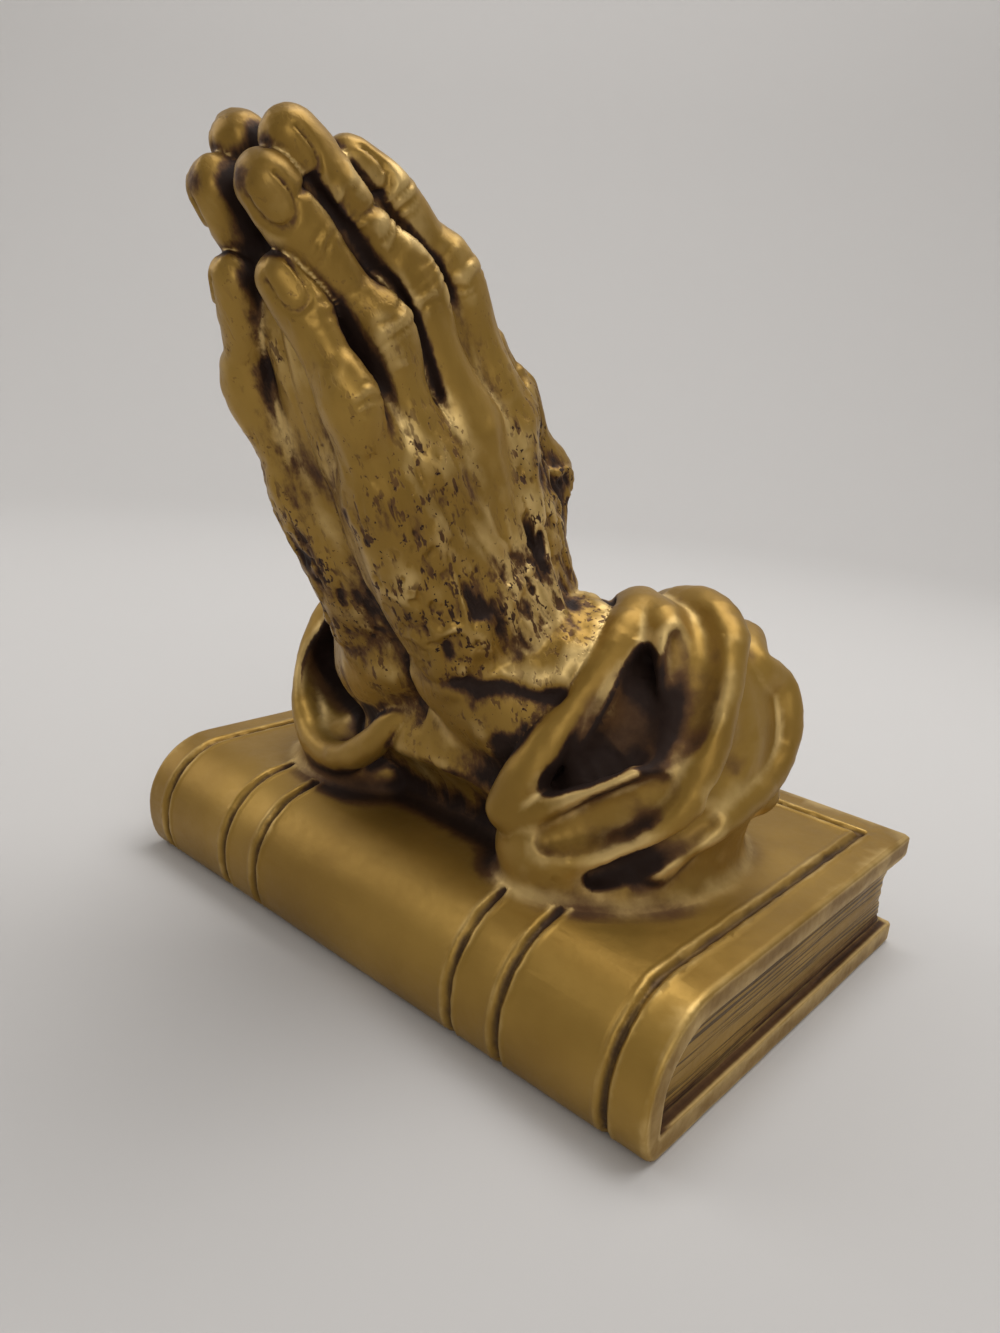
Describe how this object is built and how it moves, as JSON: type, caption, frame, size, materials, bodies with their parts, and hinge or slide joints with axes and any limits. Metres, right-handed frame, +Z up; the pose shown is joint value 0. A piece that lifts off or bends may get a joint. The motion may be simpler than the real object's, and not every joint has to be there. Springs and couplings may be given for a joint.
{
  "type": "praying hands statue",
  "caption": "Cast statue of two hands pressed palm to palm, rising from turned-back sleeves that rest on a closed book lying flat.",
  "frame": {"origin": "centre of the book's flat underside, where the statue stands on a table", "axes": "+Z up; X along the book's spine, which is at the front (-Y); the hands lean over the spine and meet on the plane X = 0"},
  "size_m": [0.215, 0.1982, 0.2252],
  "materials": {
    "antique_gold_paint": "satin"
  },
  "bodies": {
    "root": {"praying_hands_statue": "antique_gold_paint"}
  },
  "joints": []
}
